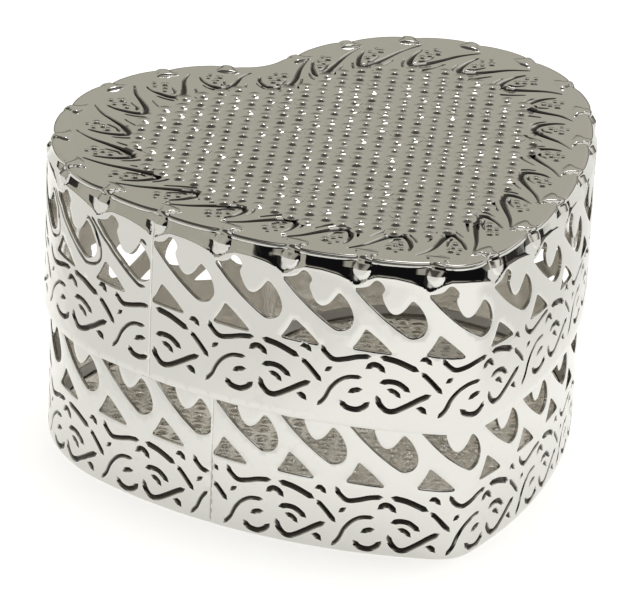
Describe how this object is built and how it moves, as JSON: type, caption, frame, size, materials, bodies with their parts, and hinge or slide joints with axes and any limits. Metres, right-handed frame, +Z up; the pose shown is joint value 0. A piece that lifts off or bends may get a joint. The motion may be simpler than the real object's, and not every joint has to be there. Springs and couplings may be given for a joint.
{
  "type": "heart-shaped trinket box",
  "caption": "Heart-shaped trinket box of pressed silver-plated sheet, with a pierced base and a pierced lid that lifts straight off.",
  "frame": {"origin": "on the surface that the box stands on, under the middle of the closed box", "axes": "+Z up, +Y from the heart's tip to its cleft, +X to the right seen with the tip to the front"},
  "size_m": [0.09, 0.082, 0.051],
  "materials": {
    "silver_plate": "polished",
    "solder": "satin"
  },
  "bodies": {
    "base": {"base_floor": "silver_plate", "base_wall": "silver_plate", "base_floor_solder": "solder", "base_seam_solder": "solder"},
    "lid": {"lid_top_plate": "silver_plate", "lid_skirt": "silver_plate", "lid_bearer_wire": "silver_plate", "lid_plate_solder": "solder", "lid_seam_solder": "solder"}
  },
  "joints": [
    {"name": "lid_lift", "type": "slide", "parent": "base", "child": "lid", "axis": [0, 0, 1], "range_m": [0, 0.035]}
  ]
}
